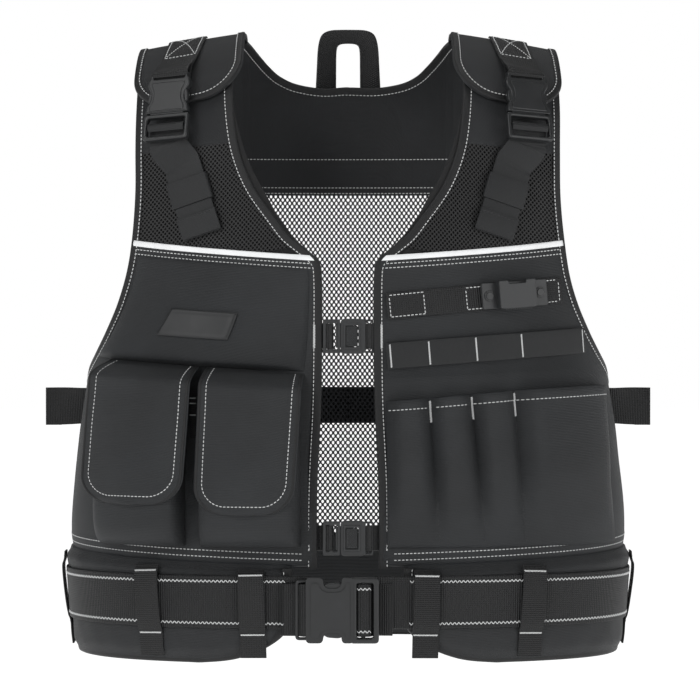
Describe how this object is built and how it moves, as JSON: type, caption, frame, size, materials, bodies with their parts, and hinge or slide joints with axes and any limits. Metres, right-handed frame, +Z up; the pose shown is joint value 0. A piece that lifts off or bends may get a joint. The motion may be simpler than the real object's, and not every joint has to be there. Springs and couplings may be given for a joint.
{
  "type": "utility work vest",
  "caption": "Sleeveless mesh and cloth work vest in its worn shape, with buckled shoulder and chest straps, a padded waist belt, flap pouches and a tool pocket.",
  "frame": {"origin": "midway between the two shoulders, at the height where a wearer's shoulders carry the vest", "axes": "+Z up, the vest's front faces -Y, and the wearer's left is +X"},
  "size_m": [0.613, 0.3099, 0.6295],
  "materials": {
    "cordura": "coarse woven, dark grey",
    "mesh": "knitted mesh, black",
    "binding": "woven tape, black",
    "webbing": "woven webbing, black",
    "plastic": "moulded, black",
    "rubber": "matt, dark grey",
    "reflective": "reflective piping, silver white"
  },
  "bodies": {
    "root": {"front_panel_right": "cordura", "front_panel_left": "cordura", "side_panel_right": "cordura", "side_panel_left": "cordura", "back_yoke": "cordura", "shoulder_flap_right": "cordura", "shoulder_flap_left": "cordura", "waist_pad": "cordura", "chest_pocket": "cordura", "pouch_outer": "cordura", "pouch_inner": "cordura", "pouch_flap_outer": "cordura", "pouch_flap_inner": "cordura", "tool_pocket": "cordura", "chest_mesh_right": "mesh", "chest_mesh_left": "mesh", "back_mesh": "mesh", "front_binding_right": "binding", "front_binding_left": "binding", "armhole_binding_right": "binding", "armhole_binding_left": "binding", "neck_binding": "binding", "waist_pad_binding": "binding", "back_strap": "webbing", "neck_handle": "webbing", "belt_webbing": "webbing", "pen_webbing": "webbing", "accessory_webbing": "webbing", "loop_webbing": "webbing", "belt_loop_left_inner": "webbing", "belt_loop_left_outer": "webbing", "belt_loop_left_side": "webbing", "belt_loop_right_inner": "webbing", "belt_loop_right_outer": "webbing", "belt_loop_right_side": "webbing", "belt_loop_back": "webbing", "upper_chest_strap_right": "webbing", "upper_chest_strap_left": "webbing", "lower_chest_strap_right": "webbing", "lower_chest_strap_left": "webbing", "shoulder_anchor_right": "webbing", "shoulder_anchor_left": "webbing", "shoulder_strap_right": "webbing", "shoulder_strap_left": "webbing", "shoulder_keeper_right": "webbing", "shoulder_keeper_left": "webbing", "belt_buckle_adjuster": "plastic", "belt_buckle_socket": "plastic", "tool_clip": "plastic", "upper_buckle_adjuster": "plastic", "upper_buckle_socket": "plastic", "lower_buckle_adjuster": "plastic", "lower_buckle_socket": "plastic", "shoulder_socket_right": "plastic", "shoulder_socket_left": "plastic", "shoulder_adjuster_right": "plastic", "shoulder_adjuster_left": "plastic", "chest_patch": "rubber", "reflective_strip_right": "reflective", "reflective_strip_left": "reflective"}
  },
  "joints": []
}
